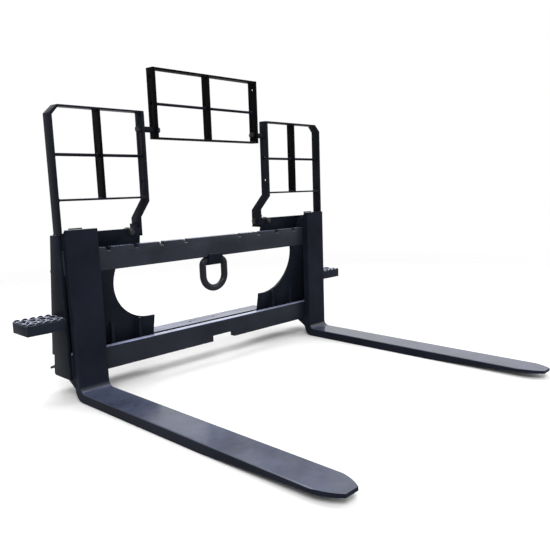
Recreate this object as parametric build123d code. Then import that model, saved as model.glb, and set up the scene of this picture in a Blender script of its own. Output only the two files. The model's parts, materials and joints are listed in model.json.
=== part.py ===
from build123d import *
from math import cos, radians, sqrt, tan
import os

# Pallet fork attachment for a skid steer loader: a rail frame with a walk-through
# coupler, two forks that slide along the rails, a load guard in three pieces,
# a towing ring and two side steps.
# X runs across the frame, -Y points out along the forks, +Z is up, and the forks
# lie on the floor at Z = 0. All sizes are in millimetres.
# While modelling, Y = 0 is the front face of the rails.

# Rails, class II carriage
carriage_height = 406.4
rail_height = 76.2
rail_thickness = 25.4
rail_ground_gap = 76.2
frame_half_width = 597.0
side_plate_thickness = 9.5

# Distances in from the frame's outer edge
fork_inset = 63.6
guard_width = 320.0
coupler_post_width = 70.0
coupler_low_band_inset = 287.0
window_plate_width = 344.0
window_inset = 325.0
pin_slot_inset = 127.0
inner_gusset_inset = 276.0
outer_gusset_inset = 172.0
upper_rib_inset = 282.0

# Latch notches in the upper rail
notch_pitch = 101.6
notch_pairs = 5
notch_depth = 14.0
notch_mouth = 20.0
notch_floor = 13.0

# Loading notch in the lower rail
loading_notch_centre = 26.0
loading_notch_width = 104.0
loading_notch_depth = 22.0

# Side plates
side_plate_top = 530.0
side_plate_bottom = 70.5
coupler_face_y = 58.0
coupler_face_z = 486.5
coupler_lean_deg = 8.4
relief_top = 138.0
relief_bottom = 76.0
relief_depth = 14.0
side_plate_toe = 6.0

# Window plates between the rails
window_plate_thickness = 9.5
window_plate_lean_deg = 10.8
window_plate_top_y = 2.0
window_centre_z = 365.0
window_radius = 146.0

# Coupler plates behind the rails, open in the middle
coupler_thickness = 9.5
coupler_top = 533.0
coupler_band_bottom = 398.0
coupler_low_band_top = 190.0
coupler_corner_radius = 30.0

# Hook lip over the loader's plate
lip_thickness = 12.0
lip_top_z = 487.0
lip_tip_y = 94.0
lip_tip_z = 409.0

# Pin ledge under the coupler plates
ledge_tip_y = 153.0
ledge_tip_z = 86.0
ledge_front_y = 56.0
ledge_rise = 18.0
ledge_run = 48.0
ledge_thickness = 8.0
pin_slot_length = 46.0
pin_slot_width = 27.0
pin_slot_behind_face = 16.0

# Gussets and ribs
gusset_thickness = 9.5
gusset_top = 222.0
gusset_bottom = 126.0
upper_rib_bottom = 410.0
upper_rib_top = 456.0

# Tread behind the lower rail
tread_front_y = 66.0
tread_depth = 75.0
tread_thickness = 6.0
tread_top = 147.0
tread_hole_radius = 5.0
tread_hole_spacing = 110.0

# Forks
fork_width = 101.6
fork_thickness = 31.75
fork_length = 1066.8
fork_clearance = 0.5
shank_top = 548.0
shank_top_bevel = 16.0
heel_outer_radius = 40.0
heel_inner_radius = 24.0
taper_start = 600.0
tip_thickness = 10.0
tip_curve_length = 95.0
tip_flat_width = 43.0
fork_edge_radius = 3.5

# Fork hooks
lip_clearance = 1.0
hook_lip_thickness = 12.0
hook_reach = 16.0
upper_hook_top = 529.0
upper_hook_middle_top = 523.0
upper_hook_rear_top = 492.0
lower_hook_bottom_front = 40.0
lower_hook_bottom_rear = 62.0

# Latch pins
latch_radius = 6.0
latch_bore_clearance = 0.3
latch_travel = 12.0
latch_tip_gap = 1.5
latch_tip_chamfer = 1.5
latch_handle_radius = 4.5
latch_handle_length = 42.0

# Towing ring and its clip
ring_bar_radius = 12.7
ring_width = 127.0
ring_height = 134.0
ring_corner_radius = 18.0
ring_drop = 14.0
clip_half_width = 32.0
clip_thickness = 6.0
clip_clearance = 0.6
clip_lap = 8.0

# Steps
step_length = 120.0
step_front_y = -6.0
step_depth = 97.0
step_top = 269.5
step_height = 33.0
step_sheet = 3.0
step_rear_openings = 4
step_rear_opening_y = 66.0
step_rear_opening_width = 21.6
step_rear_opening_length = 33.0
step_front_openings = 5
step_front_opening_y = 26.2
step_front_opening_width = 14.4
step_front_opening_length = 19.4
step_opening_corner = 3.0
step_tooth_height = 5.0
step_tooth_root = 1.0
step_teeth = 10

# Guard bars
bar_thickness = 9.5
guard_front_y = -12.0
guard_rear_y = 28.0
guard_top = 923.5
guard_bend = 27.0
guard_bend_deg = 45.0
guard_lower_bar_top = 641.0
middle_bar_depth = 32.0
guard_rod_radius = 5.0
guard_rod_clearance = 0.1
guard_rod_z = 776.0
guard_middle_y = 8.0
dogleg_top = 625.0
dogleg_bottom = 566.0
leg_front_y = 44.0
leg_rear_y = 93.0
leg_bottom = 505.0
guard_top_hole_z = 865.0
guard_hole_count = 3

# Centre guard, bolted between the uprights
centre_height = 237.0
centre_hole_edge = 30.9

# Fasteners, M12
bolt_radius = 6.0
bolt_hole_radius = 6.75
bolt_head_across_flats = 19.0
bolt_head_height = 7.5
nut_height = 10.8
bolt_tail = 1.5
washer_radius = 12.0
washer_thickness = 2.5
spacer_radius = 10.0
spacer_length = 44.0

# Foot brackets of the guard
foot_bracket_length = 54.0
foot_bracket_thickness = 8.0
foot_bracket_bottom = 495.0
foot_bracket_top = 546.0
foot_bracket_toe_y = 106.0
foot_bracket_toe_top = 519.0
foot_bolt_y = 74.0
foot_bolt_z = 521.0
foot_plate_bolt_offset = 35.5

# Sizes that follow from the ones above
lower_rail_bottom = rail_ground_gap
lower_rail_top = rail_ground_gap + rail_height
upper_rail_top = rail_ground_gap + carriage_height
upper_rail_bottom = upper_rail_top - rail_height
side_plate_inner = frame_half_width - side_plate_thickness
fork_centre = frame_half_width - fork_inset
coupler_slope = tan(radians(coupler_lean_deg))
coupler_run = coupler_thickness / cos(radians(coupler_lean_deg))
window_slope = tan(radians(window_plate_lean_deg))
window_run = window_plate_thickness / cos(radians(window_plate_lean_deg))
ledge_slope = ledge_rise / ledge_run
shank_back = -fork_clearance
shank_front = shank_back - fork_thickness
tip_y = shank_front - fork_length
depth_middle = (tip_y + ledge_tip_y) / 2
guard_depth = guard_rear_y - guard_front_y
guard_outer_inner = frame_half_width - bar_thickness
guard_hole_pitch = centre_height / 2 - centre_hole_edge
upright_inner_face = frame_half_width - guard_width
upright_outer_face = upright_inner_face + bar_thickness
centre_half_width = upright_inner_face - spacer_length
coupler_upper_edge = upright_outer_face
coupler_lower_edge = frame_half_width - coupler_low_band_inset
coupler_post_edge = frame_half_width - coupler_post_width
window_inner_edge = frame_half_width - window_plate_width
window_centre_x = frame_half_width - window_inset

# Length of a cut that goes right through
through = 2000.0

# How far the middle of a rounded corner's arc stays from each side, as a share of its radius
arc_share = 1 - sqrt(0.5)


def save(name, shape):
    """Write one piece, with the origin under the middle of the whole attachment."""
    export_step(Pos(0, -depth_middle, 0) * shape, f"parts/{name}.step")


def save_pair(name, make):
    """Write the left (-X) and right (+X) copies of a piece made for +X."""
    right = make()
    save(f"{name}_right", right)
    save(f"{name}_left", mirror(right, about=Plane.YZ))


def across(points, start, width):
    """A plate with an outline in Y and Z, extruded along X from start."""
    face = Plane.YZ * make_face(Polyline(*points, close=True))
    return Pos(start, 0, 0) * extrude(face, amount=width)


def facing(sketch, front, depth):
    """A flat outline in X and Z, extruded along Y from front to front + depth."""
    return Pos(0, front + depth, 0) * extrude(Plane.XZ * sketch, amount=depth)


def box(x_low, x_high, y_low, y_high, z_low, z_high):
    """A bar between six faces."""
    corner = (Align.MIN, Align.MIN, Align.MIN)
    bar = Box(x_high - x_low, y_high - y_low, z_high - z_low, align=corner)
    return Pos(x_low, y_low, z_low) * bar


def rod_x(radius, x_low, x_high, y, z):
    """A round bar along X."""
    rod = Cylinder(radius, x_high - x_low, align=(Align.CENTER, Align.CENTER, Align.MIN))
    return Pos(x_low, y, z) * Rot(0, 90, 0) * rod


def coupler_y(z):
    """Y of the face that the loader's plate bears on."""
    return coupler_face_y + coupler_slope * (coupler_face_z - z)


def window_y(z):
    """Y of the front face of the window plate."""
    return window_plate_top_y + window_slope * (upper_rail_bottom - z)


def ledge_z(y):
    """Z of the upper face of the pin ledge."""
    return ledge_tip_z + ledge_slope * (ledge_tip_y - y)


def ledge_root_y():
    """Y where the coupler face meets the ledge's upper face."""
    height = coupler_face_z - ledge_tip_z - ledge_slope * ledge_tip_y
    return (coupler_face_y + coupler_slope * height) / (1 - coupler_slope * ledge_slope)


def above_ledge():
    """Everything over the ledge's upper face, to trim what stands on it."""
    points = [(0, ledge_z(0)), (ledge_tip_y, ledge_tip_z), (ledge_tip_y, through), (0, through)]
    return across(points, 0, frame_half_width)


def notch_places():
    """X of each latch notch, from the outermost fork place inwards."""
    right = [fork_centre - notch_pitch * i for i in range(notch_pairs)]
    return [-x for x in right] + right


def make_upper_rail():
    """The upper rail, up to the floor of its latch notches."""
    top = upper_rail_top - notch_depth
    return box(-side_plate_inner, side_plate_inner, 0, rail_thickness, upper_rail_bottom, top)


def make_rail_lands():
    """The top of the upper rail, between its latch notches."""
    low = upper_rail_top - notch_depth
    lands = box(-side_plate_inner, side_plate_inner, 0, rail_thickness, low, upper_rail_top)
    outline = [
        (-notch_mouth / 2, upper_rail_top),
        (-notch_floor / 2, low),
        (notch_floor / 2, low),
        (notch_mouth / 2, upper_rail_top),
    ]
    notch = facing(make_face(Polyline(*outline, close=True)), 0, rail_thickness)
    for x in notch_places():
        lands -= Pos(x, 0, 0) * notch
    return Compound(children=[*lands.solids()])


def make_lower_rail():
    rail = box(-side_plate_inner, side_plate_inner, 0, rail_thickness, lower_rail_bottom, lower_rail_top)
    left = loading_notch_centre - loading_notch_width / 2
    right = left + loading_notch_width
    top = lower_rail_bottom + loading_notch_depth
    return rail - box(left, right, 0, rail_thickness, lower_rail_bottom, top)


def make_side_plate():
    points = [
        (0, side_plate_bottom),
        (0, side_plate_top),
        (coupler_y(side_plate_top), side_plate_top),
        (coupler_y(relief_top), relief_top),
        (coupler_y(relief_top) - relief_depth, relief_top),
        (coupler_y(relief_bottom) - relief_depth, relief_bottom),
        (coupler_y(relief_bottom) - relief_depth - side_plate_toe, side_plate_bottom),
    ]
    return across(points, side_plate_inner, side_plate_thickness)


def make_window_plate():
    slab = across(
        [
            (window_y(0), 0),
            (window_y(upper_rail_bottom), upper_rail_bottom),
            (window_y(upper_rail_bottom) + window_run, upper_rail_bottom),
            (window_y(0) + window_run, 0),
        ],
        window_inner_edge,
        side_plate_inner - window_inner_edge,
    )
    window = Pos(window_centre_x, window_centre_z) * Circle(window_radius)
    window = facing(window, -through, 2 * through)
    corner_bottom = window_centre_z - window_radius
    corner = box(0, window_centre_x, -through, through, corner_bottom, through)
    return (slab - window - corner) & above_ledge()


def make_coupler_plate():
    points = [
        (coupler_y(0), 0),
        (coupler_y(coupler_top), coupler_top),
        (coupler_y(coupler_top) - coupler_run, coupler_top),
        (coupler_y(0) - coupler_run, 0),
    ]
    plate = across(points, coupler_upper_edge, side_plate_inner - coupler_upper_edge)
    opening_height = coupler_band_bottom - coupler_low_band_top
    opening = RectangleRounded(2 * coupler_post_edge, opening_height, coupler_corner_radius)
    middle = (coupler_band_bottom + coupler_low_band_top) / 2
    plate -= facing(Pos(0, middle) * opening, -through, 2 * through)
    plate -= box(0, coupler_lower_edge, -through, through, 0, middle)
    return (plate - plate_bolt_hole()) & above_ledge()


def make_hook_lip():
    run = lip_tip_y - coupler_y(lip_top_z)
    drop = lip_top_z - lip_tip_z
    length = sqrt(run**2 + drop**2)
    inward_y = -drop / length * lip_thickness
    inward_z = -run / length * lip_thickness
    points = [
        (coupler_y(lip_top_z), lip_top_z),
        (lip_tip_y, lip_tip_z),
        (lip_tip_y + inward_y, lip_tip_z + inward_z),
        (coupler_y(lip_top_z) + inward_y, lip_top_z + inward_z),
    ]
    lip = across(points, coupler_upper_edge, side_plate_inner - coupler_upper_edge)
    behind = across(
        [
            (coupler_y(0), 0),
            (coupler_y(coupler_top), coupler_top),
            (through, coupler_top),
            (through, 0),
        ],
        0,
        frame_half_width,
    )
    return lip & behind


def make_pin_ledge():
    points = [
        (ledge_front_y, ledge_z(ledge_front_y)),
        (ledge_tip_y, ledge_tip_z),
        (ledge_tip_y, ledge_tip_z - ledge_thickness),
        (ledge_front_y, ledge_z(ledge_front_y) - ledge_thickness),
    ]
    ledge = across(points, window_inner_edge, side_plate_inner - window_inner_edge)
    slot = extrude(SlotOverall(pin_slot_length, pin_slot_width), amount=through)
    return ledge - Pos(frame_half_width - pin_slot_inset, ledge_root_y() + pin_slot_behind_face, 0) * slot


def make_gusset(inset):
    top_y = window_y(gusset_top)
    points = [
        (rail_thickness, gusset_bottom),
        (rail_thickness, gusset_top),
        (top_y, gusset_top),
        (window_y(gusset_bottom), gusset_bottom),
    ]
    return across(points, frame_half_width - inset - gusset_thickness / 2, gusset_thickness)


def make_upper_rib():
    points = [
        (rail_thickness, upper_rib_bottom),
        (rail_thickness, upper_rib_top),
        (coupler_y(upper_rib_top) - coupler_run, upper_rib_top),
        (coupler_y(upper_rib_bottom) - coupler_run, upper_rib_bottom),
    ]
    return across(points, frame_half_width - upper_rib_inset - gusset_thickness / 2, gusset_thickness)


def make_lower_rib():
    points = [
        (window_y(0) + window_run, 0),
        (window_y(coupler_low_band_top) + window_run, coupler_low_band_top),
        (coupler_y(coupler_low_band_top) - coupler_run, coupler_low_band_top),
        (coupler_y(0) - coupler_run, 0),
    ]
    return across(points, coupler_lower_edge, gusset_thickness) & above_ledge()


def make_tread():
    tread = box(
        -coupler_lower_edge,
        coupler_lower_edge,
        tread_front_y,
        tread_front_y + tread_depth,
        tread_top - tread_thickness,
        tread_top,
    )
    middle_y = tread_front_y + tread_depth / 2
    hole = Cylinder(tread_hole_radius, 4 * tread_thickness)
    for x in (-tread_hole_spacing / 2, tread_hole_spacing / 2):
        tread -= Pos(x, middle_y, tread_top) * hole
    return tread


def fork_profile():
    """Outline of the fork in Y and Z, along its middle."""
    heel = heel_outer_radius
    inner = heel_inner_radius
    bevel = shank_top_bevel
    back = Line((shank_back, shank_top - bevel), (shank_back, heel))
    heel_middle = (shank_back - heel * arc_share, heel * arc_share)
    heel_arc = ThreePointArc((shank_back, heel), heel_middle, (shank_back - heel, 0))
    under = Polyline(
        (shank_back - heel, 0),
        (shank_front - taper_start, 0),
        (tip_y, fork_thickness - tip_thickness),
        (tip_y, fork_thickness),
        (shank_front - inner, fork_thickness),
    )
    inner_middle = (shank_front - inner * arc_share, fork_thickness + inner * arc_share)
    inner_arc = ThreePointArc(
        (shank_front - inner, fork_thickness), inner_middle, (shank_front, fork_thickness + inner)
    )
    front = Polyline(
        (shank_front, fork_thickness + inner),
        (shank_front, shank_top),
        (shank_back - bevel, shank_top),
        (shank_back, shank_top - bevel),
    )
    return make_face([back, heel_arc, under, inner_arc, front])


def fork_plan():
    """Outline of the fork in X and Y, with the tip rounded to a narrow flat end."""
    half = fork_width / 2
    flat = tip_flat_width / 2
    inset = half - flat
    radius = (tip_curve_length**2 + inset**2) / (2 * inset)
    start_y = tip_y + tip_curve_length
    right = RadiusArc((flat, tip_y), (half, start_y), -radius)
    left = RadiusArc((-half, start_y), (-flat, tip_y), -radius)
    sides = Polyline((half, start_y), (half, 0), (-half, 0), (-half, start_y))
    end = Line((-flat, tip_y), (flat, tip_y))
    return make_face([right, sides, left, end])


def make_fork():
    half = fork_width / 2
    fork = extrude(Plane.YZ * fork_profile(), amount=half, both=True)
    sides = fork.faces().filter_by(Axis.X)
    rims = [edge for side in sides for edge in side.edges()]
    fork = fillet(rims, fork_edge_radius)
    return fork & extrude(fork_plan(), amount=through, both=True)


def make_upper_hook():
    lip_front = rail_thickness + lip_clearance
    lip_rear = lip_front + hook_lip_thickness
    seat = upper_rail_top + fork_clearance
    points = [
        (shank_back, seat),
        (shank_back, upper_hook_top),
        (lip_front, upper_hook_middle_top),
        (lip_rear, upper_hook_rear_top),
        (lip_rear, upper_rail_top - hook_reach),
        (lip_front, upper_rail_top - hook_reach),
        (lip_front, seat),
    ]
    hook = across(points, -fork_width / 2, fork_width)
    bore = Cylinder(latch_radius + latch_bore_clearance, through)
    return hook - Pos(0, rail_thickness / 2, upper_rail_top) * bore


def make_lower_hook():
    lip_front = rail_thickness + lip_clearance
    lip_rear = lip_front + hook_lip_thickness
    seat = lower_rail_bottom - fork_clearance
    points = [
        (shank_back, lower_hook_bottom_front),
        (shank_back, seat),
        (lip_front, seat),
        (lip_front, lower_rail_bottom + hook_reach),
        (lip_rear, lower_rail_bottom + hook_reach),
        (lip_rear, lower_hook_bottom_rear),
    ]
    return across(points, -fork_width / 2, fork_width)


def make_latch_pin():
    tip = upper_rail_top + latch_tip_gap
    handle = upper_hook_top + latch_travel + latch_handle_radius
    middle_y = rail_thickness / 2
    pin = Cylinder(latch_radius, handle - tip, align=(Align.CENTER, Align.CENTER, Align.MIN))
    pin = chamfer(pin.edges().sort_by(Axis.Z)[0], latch_tip_chamfer)
    pin = Pos(0, middle_y, tip) * pin
    half = latch_handle_length / 2
    return pin + rod_x(latch_handle_radius, -half, half, middle_y, handle)


def make_ring():
    half = ring_width / 2 - ring_bar_radius
    axis_z = upper_rail_bottom - ring_drop
    bottom = axis_z - (ring_height - 2 * ring_bar_radius)
    corner = ring_corner_radius
    turn = corner * arc_share
    arc_z = bottom + half
    right = ThreePointArc(
        (half - corner, axis_z), (half - turn, axis_z - turn), (half, axis_z - corner)
    )
    left = ThreePointArc(
        (-half, axis_z - corner), (-half + turn, axis_z - turn), (-half + corner, axis_z)
    )
    bow = ThreePointArc((half, arc_z), (0, bottom), (-half, arc_z))
    path = Wire(
        [
            Line((-half + corner, axis_z), (half - corner, axis_z)).edge(),
            right.edge(),
            Line((half, axis_z - corner), (half, arc_z)).edge(),
            bow.edge(),
            Line((-half, arc_z), (-half, axis_z - corner)).edge(),
            left.edge(),
        ]
    )
    start = Plane(origin=(0, 0, axis_z), x_dir=(0, 1, 0), z_dir=(1, 0, 0))
    ring = sweep(start * Circle(ring_bar_radius), path=Plane.XZ * path)
    return Pos(0, rail_thickness / 2, 0) * ring


def make_ring_clip():
    axis_z = upper_rail_bottom - ring_drop
    middle_y = rail_thickness / 2
    inner = ring_bar_radius + clip_clearance
    outer = inner + clip_thickness
    top = upper_rail_bottom + clip_lap
    round_part = Pos(middle_y, axis_z) * Circle(outer)
    legs = Pos(middle_y, (axis_z + top) / 2) * Rectangle(2 * outer, top - axis_z)
    hollow = Pos(middle_y, axis_z) * Circle(inner)
    slot = Rectangle(2 * inner, ring_drop)
    slot = Pos(middle_y, (axis_z + upper_rail_bottom) / 2) * slot
    rail_slot = Pos(middle_y, upper_rail_bottom + clip_lap / 2) * Rectangle(rail_thickness, clip_lap)
    sketch = round_part + legs - hollow - slot - rail_slot
    return extrude(Plane.YZ * sketch, amount=clip_half_width, both=True)


def step_openings(count, row_y, width, length):
    """A row of openings through the step's top, evenly spaced across it."""
    opening = extrude(RectangleRounded(width, length, step_opening_corner), amount=3 * step_sheet)
    pitch = step_length / count
    y = step_front_y + row_y
    z = step_top - 2 * step_sheet
    openings = [Pos(frame_half_width + (i + 0.5) * pitch, y, z) * opening for i in range(count)]
    return Compound(children=openings)


def make_step():
    x_low = frame_half_width
    x_high = frame_half_width + step_length
    rear_y = step_front_y + step_depth
    low = step_top - step_height
    step = box(x_low, x_high, step_front_y, rear_y, low, step_top)
    inner_rear = rear_y - step_sheet
    step -= box(x_low, x_high, step_front_y + step_sheet, inner_rear, low, step_top - step_sheet)
    step -= step_openings(
        step_rear_openings, step_rear_opening_y, step_rear_opening_width, step_rear_opening_length
    )
    step -= step_openings(
        step_front_openings, step_front_opening_y, step_front_opening_width, step_front_opening_length
    )
    pitch = step_length / step_teeth
    outline = [(x_low, step_top)]
    for i in range(step_teeth):
        outline.append((x_low + (i + 0.5) * pitch, step_top + step_tooth_height))
        outline.append((x_low + (i + 1) * pitch, step_top))
    outline += [(x_high, step_top - step_tooth_root), (x_low, step_top - step_tooth_root)]
    teeth = make_face(Polyline(*outline, close=True))
    for y in (step_front_y, inner_rear):
        step += facing(teeth, y, step_sheet)
    return step


def make_guard_frame():
    """Outer upright and top bar in one bent flat bar."""
    outer = frame_half_width
    cut = guard_bend
    inset = bar_thickness * tan(radians(guard_bend_deg / 2))
    points = [
        (outer, side_plate_top),
        (outer, guard_top - cut),
        (outer - cut, guard_top),
        (upright_inner_face, guard_top),
        (upright_inner_face, guard_top - bar_thickness),
        (outer - cut - inset, guard_top - bar_thickness),
        (outer - bar_thickness, guard_top - cut - inset),
        (outer - bar_thickness, side_plate_top),
    ]
    return facing(make_face(Polyline(*points, close=True)), guard_front_y, guard_depth)


def guard_hole_heights():
    return [guard_top_hole_z - guard_hole_pitch * i for i in range(guard_hole_count)]


def make_guard_upright():
    """Inner upright, cut from plate, with its leg set back behind the rail."""
    set_back = leg_front_y - guard_front_y
    points = [
        (guard_front_y, guard_top - bar_thickness),
        (guard_front_y, dogleg_top),
        (guard_front_y + set_back, dogleg_top - set_back),
        (leg_front_y, leg_bottom),
        (leg_rear_y, leg_bottom),
        (leg_rear_y, dogleg_bottom),
        (guard_rear_y, dogleg_bottom + leg_rear_y - guard_rear_y),
        (guard_rear_y, guard_top - bar_thickness),
    ]
    upright = across(points, upright_inner_face, bar_thickness)
    hole = rod_x(bolt_hole_radius, upright_inner_face, upright_outer_face, 0, 0)
    for z in guard_hole_heights():
        upright -= Pos(0, guard_middle_y, z) * hole
    return upright - Pos(0, foot_bolt_y, foot_bolt_z) * hole


def make_guard_lower_bar():
    low = guard_lower_bar_top - bar_thickness
    high = guard_lower_bar_top
    return box(upright_outer_face, guard_outer_inner, guard_front_y, guard_rear_y, low, high)


def middle_bar(middle_x, low, high, rod_z):
    """A narrower upright that the rod runs through."""
    x_low = middle_x - bar_thickness / 2
    x_high = x_low + bar_thickness
    front = guard_middle_y - middle_bar_depth / 2
    bar = box(x_low, x_high, front, front + middle_bar_depth, low, high)
    return bar - rod_x(guard_rod_radius + guard_rod_clearance, x_low, x_high, guard_middle_y, rod_z)


def make_guard_middle_bar():
    middle_x = (upright_outer_face + guard_outer_inner) / 2
    return middle_bar(middle_x, guard_lower_bar_top, guard_top - bar_thickness, guard_rod_z)


def make_guard_rod():
    return rod_x(guard_rod_radius, upright_outer_face, guard_outer_inner, guard_middle_y, guard_rod_z)


def centre_middle_z():
    return guard_top_hole_z + guard_hole_pitch


def make_centre_end_bar():
    low = centre_middle_z() - centre_height / 2
    x_low = centre_half_width - bar_thickness
    bar = box(x_low, centre_half_width, guard_front_y, guard_rear_y, low, low + centre_height)
    for i in range(-1, 2):
        z = centre_middle_z() + i * guard_hole_pitch
        bar -= rod_x(bolt_hole_radius, x_low, centre_half_width, guard_middle_y, z)
    return bar


def make_centre_flat_bar(low):
    half = centre_half_width - bar_thickness
    return box(-half, half, guard_front_y, guard_rear_y, low, low + bar_thickness)


def make_centre_middle_bar():
    low = centre_middle_z() - centre_height / 2 + bar_thickness
    high = low + centre_height - 2 * bar_thickness
    return middle_bar(0, low, high, centre_middle_z())


def make_centre_rod():
    """The rod's ends stop at the end bars, clear of their bolt holes."""
    half = centre_half_width - bar_thickness
    return rod_x(guard_rod_radius, -half, half, guard_middle_y, centre_middle_z())


def hexagon(height):
    """A hexagonal head or nut, standing on Z = 0."""
    return extrude(RegularPolygon(bolt_head_across_flats / 2, 6, major_radius=False), amount=height)


def bolt(grip):
    """A bolt with its head under Z = 0 and its shank along +Z."""
    reach = grip + nut_height + 2 * washer_thickness + bolt_tail
    shank = Cylinder(bolt_radius, reach, align=(Align.CENTER, Align.CENTER, Align.MIN))
    return shank + Pos(0, 0, -bolt_head_height) * hexagon(bolt_head_height)


def ring_plate(outer, height):
    """A washer or tube around a bolt, standing on Z = 0."""
    tube = Cylinder(outer, height, align=(Align.CENTER, Align.CENTER, Align.MIN))
    hole = Cylinder(bolt_hole_radius, height, align=(Align.CENTER, Align.CENTER, Align.MIN))
    return tube - hole


def nut():
    """A nut standing on Z = 0, bored for its bolt."""
    return hexagon(nut_height) - Cylinder(bolt_radius, 3 * nut_height)


def foot_plate_bolt():
    """Where the foot bracket's bolt leaves the front face of the coupler plate."""
    x = upright_outer_face + foot_plate_bolt_offset
    return x, coupler_y(foot_bolt_z) - coupler_run, foot_bolt_z


def plate_bolt_hole():
    """A drilled hole square to the coupler plate."""
    x, y, z = foot_plate_bolt()
    return Pos(x, y, z) * Rot(90 + coupler_lean_deg, 0, 0) * Cylinder(bolt_hole_radius, through)


def make_foot_bracket():
    """Angle that ties the guard's leg to the coupler plate."""
    side = across(
        [
            (coupler_y(foot_bracket_bottom), foot_bracket_bottom),
            (coupler_y(foot_bracket_top), foot_bracket_top),
            (leg_rear_y, foot_bracket_top),
            (leg_rear_y, foot_bracket_toe_top),
            (foot_bracket_toe_y, foot_bracket_bottom),
        ],
        upright_outer_face,
        foot_bracket_thickness,
    )
    plate = across(
        [
            (coupler_y(foot_bracket_bottom), foot_bracket_bottom),
            (coupler_y(coupler_top), coupler_top),
            (coupler_y(coupler_top) + foot_bracket_thickness, coupler_top),
            (coupler_y(foot_bracket_bottom) + foot_bracket_thickness, foot_bracket_bottom),
        ],
        upright_outer_face,
        foot_bracket_length,
    )
    far_x = upright_outer_face + foot_bracket_length
    leg_hole = rod_x(bolt_hole_radius, upright_outer_face, far_x, foot_bolt_y, foot_bolt_z)
    return side + plate - leg_hole - plate_bolt_hole()


def leg_bolt_place():
    """Seat of the leg bolt's washer, with local Z pointing out along the bolt."""
    return Pos(upright_inner_face, foot_bolt_y, foot_bolt_z) * Rot(0, 90, 0)


def plate_bolt_place():
    """Seat of the coupler plate bolt's washer, with local Z pointing to the rear."""
    x, y, z = foot_plate_bolt()
    return Pos(x, y, z) * Rot(-90 + coupler_lean_deg, 0, 0)


def centre_bolt_place():
    """Seat of the centre guard bolt's washer, with local Z pointing inwards."""
    return Pos(upright_outer_face, guard_middle_y, guard_top_hole_z) * Rot(0, -90, 0)


def foot_grips():
    leg = bar_thickness + foot_bracket_thickness
    plate = coupler_thickness + foot_bracket_thickness * cos(radians(coupler_lean_deg))
    return leg, plate


def both_sides(shape):
    return Compound(children=[*shape.solids(), *mirror(shape, about=Plane.YZ).solids()])


def group(shapes):
    """Separate solids of one kind of fastener, on both sides."""
    right = Compound(children=[s for shape in shapes for s in shape.solids()])
    return both_sides(right)


def make_foot_bolts():
    leg, plate = foot_grips()
    lift = Pos(0, 0, -washer_thickness)
    return group([leg_bolt_place() * lift * bolt(leg), plate_bolt_place() * lift * bolt(plate)])


def make_foot_nuts():
    leg, plate = foot_grips()
    return group(
        [
            leg_bolt_place() * Pos(0, 0, leg + washer_thickness) * nut(),
            plate_bolt_place() * Pos(0, 0, plate + washer_thickness) * nut(),
        ]
    )


def centre_grip():
    return upright_outer_face - centre_half_width + bar_thickness


def make_centre_bolts():
    return group([centre_bolt_place() * Pos(0, 0, -washer_thickness) * bolt(centre_grip())])


def make_centre_nuts():
    return group([centre_bolt_place() * Pos(0, 0, centre_grip() + washer_thickness) * nut()])


def make_spacers():
    tube = ring_plate(spacer_radius, spacer_length)
    return group([centre_bolt_place() * Pos(0, 0, bar_thickness) * tube])


def make_washers():
    leg, plate = foot_grips()
    seats = (
        (leg_bolt_place(), leg),
        (plate_bolt_place(), plate),
        (centre_bolt_place(), centre_grip()),
    )
    washer = ring_plate(washer_radius, washer_thickness)
    shapes = []
    for place, grip in seats:
        shapes.append(place * Pos(0, 0, -washer_thickness) * washer)
        shapes.append(place * Pos(0, 0, grip) * washer)
    return group(shapes)


os.makedirs("parts", exist_ok=True)

# Frame
save("upper_rail", make_upper_rail())
save("rail_lands", make_rail_lands())
save("lower_rail", make_lower_rail())
save_pair("side_plate", make_side_plate)
save_pair("window_plate", make_window_plate)
save_pair("coupler_plate", make_coupler_plate)
save_pair("hook_lip", make_hook_lip)
save_pair("pin_ledge", make_pin_ledge)
save_pair("inner_gusset", lambda: make_gusset(inner_gusset_inset))
save_pair("outer_gusset", lambda: make_gusset(outer_gusset_inset))
save_pair("upper_rib", make_upper_rib)
save_pair("lower_rib", make_lower_rib)
save("tread", make_tread())
save_pair("step", make_step)

# Forks
for side, x in (("left", -fork_centre), ("right", fork_centre)):
    save(f"fork_{side}", Pos(x, 0, 0) * make_fork())
    save(f"upper_hook_{side}", Pos(x, 0, 0) * make_upper_hook())
    save(f"lower_hook_{side}", Pos(x, 0, 0) * make_lower_hook())
    save(f"latch_pin_{side}", Pos(x, 0, 0) * make_latch_pin())

# Towing ring
save("ring_clip", make_ring_clip())
save("towing_ring", make_ring())

# Side guards
save_pair("guard_frame", make_guard_frame)
save_pair("guard_upright", make_guard_upright)
save_pair("guard_lower_bar", make_guard_lower_bar)
save_pair("guard_middle_bar", make_guard_middle_bar)
save_pair("guard_rod", make_guard_rod)
save_pair("foot_bracket", make_foot_bracket)

# Centre guard
centre_low = centre_middle_z() - centre_height / 2
save_pair("centre_end_bar", make_centre_end_bar)
save("centre_top_bar", make_centre_flat_bar(centre_low + centre_height - bar_thickness))
save("centre_bottom_bar", make_centre_flat_bar(centre_low))
save("centre_middle_bar", make_centre_middle_bar())
save("centre_rod", make_centre_rod())

# Fasteners
save("foot_bolts", make_foot_bolts())
save("foot_nuts", make_foot_nuts())
save("centre_bolts", make_centre_bolts())
save("centre_nuts", make_centre_nuts())
save("spacer_tubes", make_spacers())
save("washers", make_washers())
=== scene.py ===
import json
import math

import bpy
from mathutils import Matrix, Vector

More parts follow.
